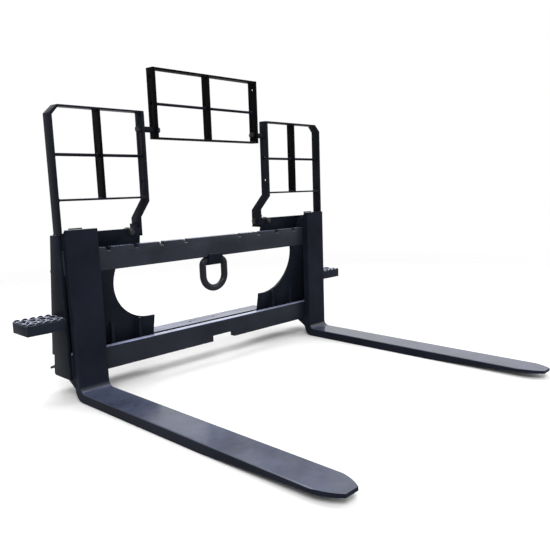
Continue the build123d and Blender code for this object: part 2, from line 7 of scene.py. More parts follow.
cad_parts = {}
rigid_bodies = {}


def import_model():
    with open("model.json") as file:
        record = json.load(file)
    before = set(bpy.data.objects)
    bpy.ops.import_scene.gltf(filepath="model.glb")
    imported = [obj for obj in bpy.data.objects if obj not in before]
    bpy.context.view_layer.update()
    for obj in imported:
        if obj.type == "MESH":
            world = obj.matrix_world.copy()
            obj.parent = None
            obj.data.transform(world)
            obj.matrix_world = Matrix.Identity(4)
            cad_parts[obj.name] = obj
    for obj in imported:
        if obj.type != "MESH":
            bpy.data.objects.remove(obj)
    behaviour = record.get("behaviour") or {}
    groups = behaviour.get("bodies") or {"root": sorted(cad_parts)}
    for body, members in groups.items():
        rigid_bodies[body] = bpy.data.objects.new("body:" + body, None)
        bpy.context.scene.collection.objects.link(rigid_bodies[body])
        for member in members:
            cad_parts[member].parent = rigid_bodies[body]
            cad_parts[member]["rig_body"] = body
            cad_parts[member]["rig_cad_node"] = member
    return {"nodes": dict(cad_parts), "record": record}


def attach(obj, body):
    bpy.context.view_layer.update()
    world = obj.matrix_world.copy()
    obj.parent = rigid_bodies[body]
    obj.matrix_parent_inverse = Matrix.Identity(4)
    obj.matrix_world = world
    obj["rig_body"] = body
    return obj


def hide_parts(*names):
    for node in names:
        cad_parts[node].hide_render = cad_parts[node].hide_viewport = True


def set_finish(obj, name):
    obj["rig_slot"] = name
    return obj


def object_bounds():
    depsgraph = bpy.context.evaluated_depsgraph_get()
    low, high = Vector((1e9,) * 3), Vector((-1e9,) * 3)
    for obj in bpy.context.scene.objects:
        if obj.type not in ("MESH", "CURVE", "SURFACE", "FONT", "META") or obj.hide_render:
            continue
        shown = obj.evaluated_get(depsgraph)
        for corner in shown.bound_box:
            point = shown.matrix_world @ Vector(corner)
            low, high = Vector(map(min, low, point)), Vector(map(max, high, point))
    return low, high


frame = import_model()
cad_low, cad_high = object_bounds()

# The drawing's sizes, in millimetres. X runs across the frame, Y back from the front face
# of the rails, and Z up from the floor.
MM = 0.001
RAIL_FACE_Y = 473.025  # where that front face stands in the model
PLATE = 9.5

# Rails and side plates
RAIL_DEPTH = 25.4
UPPER_RAIL_BOTTOM = 406.4
UPPER_RAIL_TOP = 482.6
LOWER_RAIL_TOP = 152.4
SIDE_PLATE_INNER = 587.5
SIDE_PLATE_OUTER = 597.0
SIDE_PLATE_TOP = 530.0

# Latch notches of the upper rail
NOTCHES = (127.0, 228.6, 330.2, 431.8, 533.4)
NOTCH_DEPTH = 14.0
NOTCH_MOUTH = 20.0
NOTCH_FLOOR = 13.0

# Leaning plates behind the rails, with the gussets and ribs that tie them to the rails
COUPLER_FACE_Y = 58.0
COUPLER_FACE_Z = 486.5
COUPLER_LEAN = math.radians(8.4)
WINDOW_TOP_Y = 2.0
WINDOW_LEAN = math.radians(10.8)
GUSSETS_X = (321.0, 425.0)
UPPER_RIB_X = 315.0

# Tread and steps
TREAD_END_X = 310.0
TREAD_TOP = 147.0
STEP_LENGTH = 120.0
STEP_MIDDLE_Y = 42.5
STEP_TOP = 269.5
FRONT_OPENINGS = 5
REAR_OPENINGS = 4

# What stands up on the steps. A rim is its Y, half its width and half its length.
TEETH_Y = (-4.5, 89.5)
TOOTH_RADIUS = 11.6
TOOTH_THICKNESS = 3.6
TOOTH_ROOT = 3.0
FRONT_RIM = (20.2, 11.2, 17.0)
REAR_RIM = (60.0, 14.0, 23.0)
RIM_SHEET = 2.6
RIM_HEIGHT = 5.6
RIM_ROOT = 1.0
RIM_END_DROP = 2.4
END_PLATE = (3.2, 96.4, 32.8)
END_PLATE_INSET = 0.2

# Forks
FORK_X = 533.4
FORK_HALF_WIDTH = 50.8

# Guard bars: the faces that look into the openings, and the rods' middles
GUARD_INNER_X = 286.5
GUARD_OUTER_X = 587.5
GUARD_MIDDLE_X = 437.0
GUARD_MIDDLE_Y = 8.0
GUARD_ROD_Z = 776.0
GUARD_TOP_BAR_UNDERSIDE = 914.0
GUARD_LOWER_BAR_TOP = 641.0
GUARD_LOWER_BAR_UNDERSIDE = 631.5
CENTRE_END_X = 223.5
CENTRE_ROD_Z = 952.6
CENTRE_TOP_BAR_UNDERSIDE = 1061.6
CENTRE_BOTTOM_BAR_TOP = 843.6

# M12 fasteners
HALF_ACROSS_FLATS = 9.5
BOLT_HEAD = 7.5
BOLT_RADIUS = 6.0
BOLT_TAIL = 1.5
NUT = 10.8
WASHER = 2.5
THREAD = 18.0
THREAD_PITCH = 1.75
THREAD_ROOT = 0.86
CENTRE_BOLT_Z = 865.0
FOOT_BOLT_Z = 521.0
FOOT_BRACKET = 8.0
SPACER = 44.0

# The photo's horizontal guard bars look thinner than the drawing's and its middle bars
# deeper, so some faces move a little: axis, where the face is and how far it moves
THINNER = 3.5
DEEPENED = [("y", -8.0, -2.0), ("y", 24.0, 2.0)]
GUARD_TOP_THINNED = ("z", GUARD_TOP_BAR_UNDERSIDE, THINNER)
CENTRE_TOP_THINNED = ("z", CENTRE_TOP_BAR_UNDERSIDE, THINNER)
CENTRE_BOTTOM_THINNED = ("z", CENTRE_BOTTOM_BAR_TOP, -THINNER)
MOVED_FACES = {
    "guard_frame": [GUARD_TOP_THINNED],
    "guard_upright": [GUARD_TOP_THINNED],
    "guard_lower_bar": [("z", GUARD_LOWER_BAR_UNDERSIDE, THINNER)],
    "guard_middle_bar": [GUARD_TOP_THINNED, *DEEPENED],
    "centre_top_bar": [CENTRE_TOP_THINNED],
    "centre_bottom_bar": [CENTRE_BOTTOM_THINNED],
    "centre_end_bar": [CENTRE_TOP_THINNED, CENTRE_BOTTOM_THINNED],
    "centre_middle_bar": [CENTRE_TOP_THINNED, CENTRE_BOTTOM_THINNED, *DEEPENED],
}

# Weld beads: the ripple's length and swell, and how thin the ends run out
RIPPLE = 2.8
RIPPLE_SWELL = 1.13
BEAD_END = 0.7
MOST_RIPPLE_STEPS = 98  # Blender cuts an edge at most 100 times


def place(x, y, z):
    """A point of the drawing, in metres where the model stands."""
    return Vector((x * MM, (y + RAIL_FACE_Y) * MM, z * MM))


def coupler_y(z):
    """Y of the coupler plates' rear face."""
    return COUPLER_FACE_Y + math.tan(COUPLER_LEAN) * (COUPLER_FACE_Z - z)


def coupler_front_y(z):
    """Y of the coupler plates' front face."""
    return coupler_y(z) - PLATE / math.cos(COUPLER_LEAN)


def window_y(z):
    """Y of the window plates' front face."""
    return WINDOW_TOP_Y + math.tan(WINDOW_LEAN) * (UPPER_RAIL_BOTTOM - z)


# Steps that every piece uses

def pick(*pieces):
    bpy.ops.object.select_all(action="DESELECT")
    for piece in pieces:
        piece.select_set(True)
    bpy.context.view_layer.objects.active = pieces[0]


def new_piece(add, **values):
    """The piece that an operator adds, with nothing else selected."""
    bpy.ops.object.select_all(action="DESELECT")
    add(**values)
    return bpy.context.object


def edit_all(piece):
    """Opens a piece for editing with all of it selected."""
    pick(piece)
    bpy.ops.object.mode_set(mode="EDIT")
    bpy.ops.mesh.select_all(action="SELECT")


def edit_where(piece, kind, test):
    """Opens a piece for editing with only the parts of one kind selected that pass a test."""
    mesh = piece.data
    pick(piece)
    kinds = {"VERT": mesh.vertices, "EDGE": mesh.edges, "FACE": mesh.polygons}
    bpy.context.tool_settings.mesh_select_mode = [kind == each for each in kinds]
    for items in kinds.values():
        items.foreach_set("select", [False] * len(items))
    kinds[kind].foreach_set("select", [bool(test(item)) for item in kinds[kind]])
    bpy.ops.object.mode_set(mode="EDIT")


def close_edit():
    bpy.ops.object.mode_set(mode="OBJECT")


def settle(piece):
    """Moves a piece's place, turn and scale into its mesh."""
    pick(piece)
    bpy.ops.object.transform_apply(location=True, rotation=True, scale=True)


def apply_modifier(piece, kind, **values):
    pick(piece)
    modifier = piece.modifiers.new(kind.lower(), kind)
    for name, value in values.items():
        setattr(modifier, name, value)
    bpy.ops.object.modifier_apply(modifier=modifier.name)


def mirror(piece):
    """Adds the left half of a piece that was made for the right."""
    apply_modifier(piece, "MIRROR", use_axis=(True, False, False))


def break_edges(piece, width, segments=2):
    """Takes the sharpness off a piece's edges and shades it as machined steel."""
    apply_modifier(
        piece,
        "BEVEL",
        width=width * MM,
        segments=segments,
        limit_method="ANGLE",
        angle_limit=math.radians(28),
    )
    bpy.ops.object.shade_smooth_by_angle(angle=math.radians(38))


def join(pieces, name):
    pick(*pieces)
    bpy.ops.object.join()
    pieces[0].name = name
    return pieces[0]


def finish_piece(piece, body, slot, *nodes):
    """Puts a piece on its body and slot, in place of the drawing's nodes it stands for."""
    settle(piece)
    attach(piece, body)
    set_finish(piece, slot)
    if nodes:
        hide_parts(*nodes)


# Steel plates and bars with broken edges

def move_face(plate, axis, level, shift):
    """Moves a bar's face along its axis."""
    if axis == "y":
        level += RAIL_FACE_Y
    edit_where(plate, "VERT", lambda v: abs(getattr(v.co, axis) - level * MM) < 0.3 * MM)
    step = (0, shift * MM, 0) if axis == "y" else (0, 0, shift * MM)
    bpy.ops.transform.translate(value=step)
    close_edit()


def dressed_plate(node, width, segments=2):
    """The drawing's own plate, merged to a solid and with its edges broken."""
    source = frame["nodes"][node]
    plate = bpy.data.objects.new(node + "_plate", source.data.copy())
    plate.data.materials.clear()
    bpy.context.scene.collection.objects.link(plate)
    pick(plate)
    if plate.data.has_custom_normals:
        bpy.ops.mesh.customdata_custom_splitnormals_clear()
    edit_all(plate)
    bpy.ops.mesh.remove_doubles(threshold=0.02 * MM)
    bpy.ops.mesh.dissolve_limited(angle_limit=math.radians(0.5))
    close_edit()
    for name, moves in MOVED_FACES.items():
        if node.startswith(name):
            for move in moves:
                move_face(plate, *move)
    break_edges(plate, width, segments)
    finish_piece(plate, source["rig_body"], slot_of[node], node)
    return plate


def trim_tip(ledge):
    """Sets back the corner that the broken edge pushes past the ledge's tip."""
    edit_where(ledge, "VERT", lambda v: v.co.y > cad_high[1])
    bpy.ops.transform.translate(value=(0, -0.03 * MM, 0))
    close_edit()


def notched_rail():
    """The upper rail: a rolled bar with a tapered latch notch for each fork place."""
    height = UPPER_RAIL_TOP - UPPER_RAIL_BOTTOM
    middle = place(0, RAIL_DEPTH / 2, UPPER_RAIL_BOTTOM + height / 2)
    rail = new_piece(bpy.ops.mesh.primitive_cube_add, size=1.0, location=middle)
    rail.scale = (2 * SIDE_PLATE_INNER * MM, RAIL_DEPTH * MM, height * MM)
    settle(rail)
    # A cutter reaches as far over the rail's top as the notch goes down
    cutter_top = 2 * NOTCH_MOUTH - NOTCH_FLOOR
    cutters = []
    for x in NOTCHES:
        for side in (-1, 1):
            middle = place(side * x, RAIL_DEPTH / 2, UPPER_RAIL_TOP)
            cutter = new_piece(bpy.ops.mesh.primitive_cube_add, size=1.0, location=middle)
            cutter.scale = (cutter_top * MM, 2 * RAIL_DEPTH * MM, 2 * NOTCH_DEPTH * MM)
            settle(cutter)
            edit_where(cutter, "FACE", lambda face: face.normal.z < -0.5)
            bpy.ops.transform.resize(value=(NOTCH_FLOOR / cutter_top, 1, 1))
            close_edit()
            cutters.append(cutter)
    cutter = join(cutters, "notch_cutter")
    apply_modifier(rail, "BOOLEAN", operation="DIFFERENCE", object=cutter, solver="EXACT")
    bpy.data.objects.remove(cutter)
    rail.name = "notched_rail"
    break_edges(rail, 1.8, 3)
    finish_piece(rail, "frame", "frame_paint", "upper_rail", "rail_lands")


# Weld beads

def weld_bead(start, end, radius):
    """One run of weld: a round bar sunk in its corner, rippled along its length."""
    start, end = place(*start), place(*end)
    length = (end - start).length
    steps = min(MOST_RIPPLE_STEPS, 2 * max(2, round(length / (RIPPLE * MM))))
    pitch = length / steps
    bead = new_piece(
        bpy.ops.mesh.primitive_cylinder_add,
        vertices=10,
        radius=radius * MM,
        depth=length,
        end_fill_type="TRIFAN",
    )
    points = bead.data.vertices

    def runs_along(edge):
        first, second = edge.vertices
        return abs(points[first].co.z - points[second].co.z) > length / 2

    edit_where(bead, "EDGE", runs_along)
    bpy.ops.mesh.subdivide(number_cuts=steps - 1)
    close_edit()
    edit_where(bead, "VERT", lambda v: round((v.co.z + length / 2) / pitch) % 2 == 1)
    bpy.ops.transform.resize(value=(RIPPLE_SWELL, RIPPLE_SWELL, 1.0))
    close_edit()
    edit_where(bead, "VERT", lambda v: abs(v.co.z) > length / 2 - pitch / 2)
    bpy.ops.transform.resize(value=(BEAD_END, BEAD_END, 1.0))
    close_edit()
    turn = (end - start).to_track_quat("Z", "Y").to_matrix().to_4x4()
    bead.matrix_world = Matrix.Translation((start + end) / 2) @ turn
    settle(bead)
    return bead


def stitch(start, end, radius, count):
    """Short runs of weld, evenly spaced along a long seam."""
    start, end = Vector(start), Vector(end)
    seam = end - start
    half_run = seam.normalized() * 24.0
    beads = []
    for i in range(count):
        middle = start + seam * (i + 0.5) / count
        beads.append(weld_bead(middle - half_run, middle + half_run, radius))
    return beads


def frame_welds():
    """Welds of the frame's right half, mirrored to the left, and the ring clip's two."""
    inner, outer, back = SIDE_PLATE_INNER, SIDE_PLATE_OUTER, RAIL_DEPTH
    runs = [
        # The side plate on the rails' backs and the lower rail's top
        ((inner, back, 408), (inner, back, 460), 4.2),
        ((inner, back, 99), (inner, back, 151), 4.2),
        ((inner, 1.5, LOWER_RAIL_TOP), (inner, 24, LOWER_RAIL_TOP), 3.2),
        # The side plate on the coupler plate's front and the step
        ((inner, coupler_front_y(412), 412), (inner, coupler_front_y(526), 526), 4.0),
        ((outer, 4, STEP_TOP), (outer, 85, STEP_TOP), 3.4),
        # The tread's end
        ((TREAD_END_X, 68, TREAD_TOP), (TREAD_END_X, 104, TREAD_TOP), 3.2),
        # The guard's outer upright on the side plate's top
        ((inner, 2, SIDE_PLATE_TOP), (inner, 27, SIDE_PLATE_TOP), 2.5),
        ((outer, 2, SIDE_PLATE_TOP), (outer, 27, SIDE_PLATE_TOP), 2.5),
    ]
    seams = [
        # The window plate's front on the side plate, and its top under the upper rail
        ((inner, window_y(165), 165), (inner, window_y(398), 398), 3.8, 3),
        ((416, 5.5, 403.2), (584, 5.5, 403.2), 3.0, 2),
        # The window plate's back on the pin ledge
        ((262, 66.5, 118.6), (582, 66.5, 118.6), 3.6, 4),
        # The hook lip on the coupler plate
        ((296, coupler_y(488), 488), (584, coupler_y(488), 488), 3.8, 4),
        # The coupler plate on the pin ledge, on each side of the slot
        ((314, 115.4, 100.2), (440, 115.4, 100.2), 3.0, 2),
        ((502, 115.4, 100.2), (584, 115.4, 100.2), 3.0, 1),
    ]
    beads = [weld_bead(*run) for run in runs]
    for seam in seams:
        beads += stitch(*seam)
    for middle in GUSSETS_X:
        for x in (middle - PLATE / 2, middle + PLATE / 2):
            foot, top = (x, window_y(132), 132), (x, window_y(216), 216)
            beads += [weld_bead((x, back, 128), (x, back, 151), 3.4), weld_bead(foot, top, 3.4)]
    for x in (UPPER_RIB_X - PLATE / 2, UPPER_RIB_X + PLATE / 2):
        foot, top = (x, coupler_front_y(412), 412), (x, coupler_front_y(454), 454)
        beads += [weld_bead((x, back, 412), (x, back, 454), 3.4), weld_bead(foot, top, 3.4)]
    welds = join(beads, "frame_welds")
    mirror(welds)
    clip_welds = [weld_bead((-29, y, 414.6), (29, y, 414.6), 3.6) for y in (0, back)]
    welds = join([welds, *clip_welds], "frame_welds")
    bpy.ops.object.shade_smooth()
    finish_piece(welds, "frame", "frame_paint")


def guard_welds():
    """Welds of the guard's right half, mirrored to the left."""
    wide, narrow = (-9, 25), (-6, 22)
    side_top = GUARD_TOP_BAR_UNDERSIDE + THINNER
    side_low = GUARD_LOWER_BAR_UNDERSIDE + THINNER
    centre_top = CENTRE_TOP_BAR_UNDERSIDE + THINNER
    centre_low = CENTRE_BOTTOM_BAR_TOP - THINNER
    centre_side = PLATE / 2
    middle_sides = (GUARD_MIDDLE_X - PLATE / 2, GUARD_MIDDLE_X + PLATE / 2)
    corners = [
        (GUARD_INNER_X, side_top, wide, 3.2),
        (GUARD_INNER_X, GUARD_LOWER_BAR_TOP, wide, 3.2),
        (GUARD_INNER_X, side_low, wide, 3.2),
        (GUARD_OUTER_X, GUARD_LOWER_BAR_TOP, wide, 3.2),
        (GUARD_OUTER_X, side_low, wide, 3.2),
        (CENTRE_END_X, centre_top, wide, 3.2),
        (CENTRE_END_X, centre_low, wide, 3.2),
        (centre_side, centre_top, narrow, 2.8),
        (centre_side, centre_low, narrow, 2.8),
    ]
    for x in middle_sides:
        corners += [(x, side_top, narrow, 2.8), (x, GUARD_LOWER_BAR_TOP, narrow, 2.8)]
    beads = []
    for x, z, (front, back), radius in corners:
        beads.append(weld_bead((x, front, z), (x, back, z), radius))
    # Round the rods: a bar's face and the way it looks
    for x, way, z in (
        (GUARD_INNER_X, 1, GUARD_ROD_Z),
        (middle_sides[0], -1, GUARD_ROD_Z),
        (middle_sides[1], 1, GUARD_ROD_Z),
        (GUARD_OUTER_X, -1, GUARD_ROD_Z),
        (CENTRE_END_X, -1, CENTRE_ROD_Z),
        (centre_side, 1, CENTRE_ROD_Z),
    ):
        start, end = (x - way, GUARD_MIDDLE_Y, z), (x + 3 * way, GUARD_MIDDLE_Y, z)
        beads.append(weld_bead(start, end, 6.8))
    welds = join(beads, "guard_welds")
    mirror(welds)
    bpy.ops.object.shade_smooth()
    finish_piece(welds, "frame", "guard_paint")


def fork_welds():
    """Welds between a fork's shank and its hooks, made on the middle line for each fork."""
    beads = [
        weld_bead((-48, 0, 528), (48, 0, 528), 4.4),
        weld_bead((-48, 0, 40.5), (48, 0, 40.5), 4.4),
    ]
    for x in (-FORK_HALF_WIDTH, FORK_HALF_WIDTH):
        beads.append(weld_bead((x, -0.5, 486), (x, -0.5, 525), 2.2))
        beads.append(weld_bead((x, -0.5, 44), (x, -0.5, 74), 2.2))
    left = join(beads, "fork_welds_left")
    bpy.ops.object.shade_smooth()
    bpy.ops.object.duplicate(linked=False)
    right = bpy.context.object
    right.name = "fork_welds_right"
    right.location.x = FORK_X * MM
    left.location.x = -FORK_X * MM
    finish_piece(left, "fork_left_body", "fork_paint")
    finish_piece(right, "fork_right_body", "fork_paint")


# Side steps

def sheet_tooth(x, y):
    """A rounded tooth pressed up from the edge of a step's sheet."""
    tooth = new_piece(
        bpy.ops.mesh.primitive_cylinder_add,
        vertices=32,
        radius=TOOTH_RADIUS * MM,
        depth=TOOTH_THICKNESS * MM,
    )
    edit_all(tooth)
    bpy.ops.transform.resize(value=(1.0, 0.86, 1.0))
    bpy.ops.mesh.bisect(
        plane_co=(0, 2 * MM, 0), plane_no=(0, 1, 0), use_fill=True, clear_inner=True
    )
    close_edit()
    upright = Matrix.Rotation(math.pi / 2, 4, "X")
    tooth.matrix_world = Matrix.Translation(place(x, y, STEP_TOP - TOOTH_ROOT)) @ upright
    settle(tooth)
    break_edges(tooth, 1.0)
    return tooth


def raised_rim(x, y, half_width, half_length):
    """The six-sided rim pressed up round one opening of a step, lower at its two ends."""
    rim = new_piece(
        bpy.ops.mesh.primitive_circle_add, vertices=6, radius=1.0, fill_type="NGON"
    )
    rim.scale = (half_width * MM / math.cos(math.radians(30)), half_length * MM, 1.0)
    settle(rim)
    edit_all(rim)
    bpy.ops.mesh.inset(thickness=RIM_SHEET * MM)
    bpy.ops.mesh.delete(type="FACE")
    bpy.ops.mesh.select_all(action="SELECT")
    rise = {"value": (0, 0, RIM_HEIGHT * MM)}
    bpy.ops.mesh.extrude_region_move(TRANSFORM_OT_translate=rise)
    bpy.ops.mesh.select_all(action="SELECT")
    bpy.ops.mesh.normals_make_consistent(inside=False)
    close_edit()
    middle_z, end_y = RIM_HEIGHT / 2 * MM, half_length * 0.7 * MM
    edit_where(rim, "VERT", lambda v: v.co.z > middle_z and abs(v.co.y) > end_y)
    bpy.ops.transform.translate(value=(0, 0, -RIM_END_DROP * MM))
    close_edit()
    rim.location = place(x, y, STEP_TOP - RIM_ROOT)
    settle(rim)
    break_edges(rim, 0.8)
    return rim


def step_grips():
    """What stands up on the right step, and its outer end plate, mirrored to the left."""
    grips = []
    for i in range(FRONT_OPENINGS):
        x = SIDE_PLATE_OUTER + STEP_LENGTH * (i + 0.5) / FRONT_OPENINGS
        grips += [sheet_tooth(x, y) for y in TEETH_Y]
        grips.append(raised_rim(x, *FRONT_RIM))
    for i in range(REAR_OPENINGS):
        x = SIDE_PLATE_OUTER + STEP_LENGTH * (i + 0.5) / REAR_OPENINGS
        grips.append(raised_rim(x, *REAR_RIM))
    thickness, _, height = END_PLATE
    x = SIDE_PLATE_OUTER + STEP_LENGTH - END_PLATE_INSET - thickness / 2
    middle = place(x, STEP_MIDDLE_Y, STEP_TOP - END_PLATE_INSET - height / 2)
    end_plate = new_piece(bpy.ops.mesh.primitive_cube_add, size=1.0, location=middle)
    end_plate.scale = Vector(END_PLATE) * MM
    settle(end_plate)
    break_edges(end_plate, 0.6)
    grips = join([*grips, end_plate], "step_grips")
    mirror(grips)
    finish_piece(grips, "frame", "tread_paint")


# Bolts and nuts

def turned_hexagon(height, both_ends):
    """A hexagon with its corners turned back, standing on Z = 0."""
    radius = HALF_ACROSS_FLATS / math.cos(math.radians(30)) * MM
    depth = height * MM
    cylinder = bpy.ops.mesh.primitive_cylinder_add
    hexagon = new_piece(cylinder, vertices=6, radius=radius, depth=depth)
    blank = new_piece(cylinder, vertices=48, radius=radius, depth=depth)
    near_end = depth / 2.01

    def on_rim(edge):
        heights = [blank.data.vertices[i].co.z for i in edge.vertices]
        return min(heights) > near_end or (both_ends and max(heights) < -near_end)

    edit_where(blank, "EDGE", on_rim)
    bpy.ops.mesh.bevel(offset=1.4 * MM, segments=2, affect="EDGES")
    close_edit()
    apply_modifier(hexagon, "BOOLEAN", operation="INTERSECT", object=blank, solver="EXACT")
    bpy.data.objects.remove(blank)
    hexagon.location.z = depth / 2
    settle(hexagon)
    break_edges(hexagon, 0.25, 1)
    return hexagon


def threaded_shank(length):
    """A bolt's shank with a rolled thread and a chamfered end, standing on Z = 0."""
    shank = new_piece(
        bpy.ops.mesh.primitive_cylinder_add,
        vertices=28,
        radius=BOLT_RADIUS * MM,
        depth=length * MM,
    )
    shank.location.z = length * MM / 2
    settle(shank)
    thread = THREAD * MM
    start = length * MM - thread
    edit_all(shank)
    bpy.ops.mesh.bisect(plane_co=(0, 0, start), plane_no=(0, 0, 1))
    close_edit()
    points = shank.data.vertices

    def in_thread(edge):
        low, high = sorted(points[i].co.z for i in edge.vertices)
        return low > start - 0.1 * MM and high - low > thread / 2

    cuts = 2 * round(THREAD / THREAD_PITCH) + 1
    edit_where(shank, "EDGE", in_thread)
    bpy.ops.mesh.subdivide(number_cuts=cuts)
    close_edit()
    half_pitch = thread / (cuts + 1)

    def at_root(vertex):
        step = round((vertex.co.z - start) / half_pitch)
        return vertex.co.z > start + half_pitch / 2 and (step % 2 == 1 or step == cuts + 1)

    edit_where(shank, "VERT", at_root)
    bpy.ops.transform.resize(value=(THREAD_ROOT, THREAD_ROOT, 1.0))
    close_edit()
    bpy.ops.object.shade_smooth_by_angle(angle=math.radians(20))
    return shank


def fasteners(name, seats):
    """Bolts and nuts on both sides. A seat is a place on the right, a direction and a grip."""
    bolts, nuts = [], []
    for (x, y, z), way, grip in seats:
        for side in (-1, 1):
            turn = Vector((side * way[0], way[1], way[2])).to_track_quat("Z", "Y")
            seat = Matrix.Translation(place(side * x, y, z)) @ turn.to_matrix().to_4x4()
            under_head = seat @ Matrix.Translation((0, 0, -WASHER * MM))
            head = turned_hexagon(BOLT_HEAD, False)
            head.matrix_world = under_head @ Matrix.Rotation(math.pi, 4, "X")
            settle(head)
            shank = threaded_shank(grip + NUT + 2 * WASHER + BOLT_TAIL)
            shank.matrix_world = under_head
            settle(shank)
            nut = turned_hexagon(NUT, True)
            nut.matrix_world = seat @ Matrix.Translation((0, 0, (grip + WASHER) * MM))
            settle(nut)
            bolts += [head, shank]
            nuts.append(nut)
    finish_piece(join(bolts, name + "_bolt_set"), "frame", "zinc", name + "_bolts")
    finish_piece(join(nuts, name + "_nut_set"), "frame", "zinc", name + "_nuts")


# Material steps and groups

def add_node(tree, kind, **values):
    node = tree.nodes.new(kind)
    for name, value in values.items():
        setattr(node, name, value)
    return node


def noise(tree, coordinates, scale, detail, roughness=0.5):
    node = add_node(tree, "ShaderNodeTexNoise")
    tree.links.new(coordinates, node.inputs["Vector"])
    node.inputs["Detail"].default_value = detail
    node.inputs["Roughness"].default_value = roughness
    if isinstance(scale, float):
        node.inputs["Scale"].default_value = scale
    else:
        tree.links.new(scale, node.inputs["Scale"])
    return node.outputs["Fac"]


def ramp(tree, value, low, high, out_low=0.0, out_high=1.0):
    node = add_node(tree, "ShaderNodeMapRange")
    tree.links.new(value, node.inputs["Value"])
    node.inputs["From Min"].default_value = low
    node.inputs["From Max"].default_value = high
    node.inputs["To Min"].default_value = out_low
    node.inputs["To Max"].default_value = out_high
    return node.outputs["Result"]


def math_node(tree, operation, first, second):
    node = add_node(tree, "ShaderNodeMath", operation=operation)
    for socket, value in zip(node.inputs, (first, second)):
        if isinstance(value, float):
            socket.default_value = value
        else:
            tree.links.new(value, socket)
    return node.outputs["Value"]


def facing_up(tree):
    """How far a face looks up: 1 for a floor, 0 for a wall."""
    geometry = add_node(tree, "ShaderNodeNewGeometry")
    split = add_node(tree, "ShaderNodeSeparateXYZ")
    tree.links.new(geometry.outputs["Normal"], split.inputs["Vector"])
    return split.outputs["Z"]


def new_group(name, values, outputs):
    """A group that takes coordinates and named values, and puts out named masks."""
    group = bpy.data.node_groups.new(name, "ShaderNodeTree")
    group.interface.new_socket("Coordinates", in_out="INPUT", socket_type="NodeSocketVector")
    for label, value in values.items():
        socket = group.interface.new_socket(label, in_out="INPUT", socket_type="NodeSocketFloat")
        socket.default_value = value
    for label in outputs:
        group.interface.new_socket(label, in_out="OUTPUT", socket_type="NodeSocketFloat")
    given, result = group.nodes.new("NodeGroupInput"), group.nodes.new("NodeGroupOutput")
    return group, given.outputs, result.inputs


def paint_film_group():
    """Slow drift in the paint and the fine orange peel of its surface."""
    values = {"Drift Scale": 5.0, "Peel Scale": 420.0}
    group, given, result = new_group("paint_film", values, ["Drift", "Peel"])
    clouds = noise(group, given["Coordinates"], given["Drift Scale"], 5.0, 0.6)
    group.links.new(ramp(group, clouds, 0.34, 0.66), result["Drift"])
    peel = noise(group, given["Coordinates"], given["Peel Scale"], 2.0)
    group.links.new(peel, result["Peel"])
    return group


def edge_wear_and_glint_group():
    """Where handling has thinned the paint, with a painted highlight along the same edges: on
    outside edges, broken up by noise.
    """
    values = {"Radius": 0.002, "Amount": 0.5}
    group, given, result = new_group("edge_wear_and_glint", values, ["Mask"])
    bevel = add_node(group, "ShaderNodeBevel", samples=6)
    group.links.new(given["Radius"], bevel.inputs["Radius"])
    geometry = add_node(group, "ShaderNodeNewGeometry")
    turn = add_node(group, "ShaderNodeVectorMath", operation="DOT_PRODUCT")
    group.links.new(bevel.outputs["Normal"], turn.inputs[0])
    group.links.new(geometry.outputs["Normal"], turn.inputs[1])
    edge = ramp(group, math_node(group, "SUBTRACT", 1.0, turn.outputs["Value"]), 0.015, 0.16)
    broken = ramp(group, noise(group, given["Coordinates"], 38.0, 6.0, 0.65), 0.42, 0.62)
    mask = math_node(group, "MULTIPLY", edge, broken)
    group.links.new(math_node(group, "MULTIPLY", mask, given["Amount"]), result["Mask"])
    return group


def dust_and_sheen_group():
    """Dust on faces that look up, and a painted sheen: the light those faces reflect, painted
    into their colour.
    """
    group, given, result = new_group("dust_and_sheen", {"Amount": 0.3}, ["Mask"])
    up = ramp(group, facing_up(group), 0.55, 0.98)
    clouds = noise(group, given["Coordinates"], 9.0, 6.0, 0.65)
    mask = math_node(group, "MULTIPLY", up, ramp(group, clouds, 0.3, 0.75, 0.35, 1.0))
    group.links.new(math_node(group, "MULTIPLY", mask, given["Amount"]), result["Mask"])
    return group


def group_node(tree, group, coordinates, **values):
    node = add_node(tree, "ShaderNodeGroup", node_tree=group)
    tree.links.new(coordinates, node.inputs["Coordinates"])
    for name, value in values.items():
        node.inputs[name.replace("_", " ").title()].default_value = value
    return node


def blend_colour(tree, mask, first, second):
    node = add_node(tree, "ShaderNodeMix", data_type="RGBA")
    tree.links.new(mask, node.inputs["Factor"])
    # Inputs 6 and 7 and output 2 are the colour ones
    for socket, value in ((node.inputs[6], first), (node.inputs[7], second)):
        if isinstance(value, tuple):
            socket.default_value = (*value, 1.0)
        else:
            tree.links.new(value, socket)
    return node.outputs[2]


def start_material(name):
    material = bpy.data.materials.new(name)
    material.use_nodes = True
    tree = material.node_tree
    shader = tree.nodes["Principled BSDF"]
    coordinates = add_node(tree, "ShaderNodeTexCoord").outputs["Object"]
    return material, tree, shader, coordinates


def bump(tree, shader, height, strength, distance):
    node = add_node(tree, "ShaderNodeBump")
    node.inputs["Strength"].default_value = strength
    node.inputs["Distance"].default_value = distance
    tree.links.new(height, node.inputs["Height"])
    tree.links.new(node.outputs["Normal"], shader.inputs["Normal"])


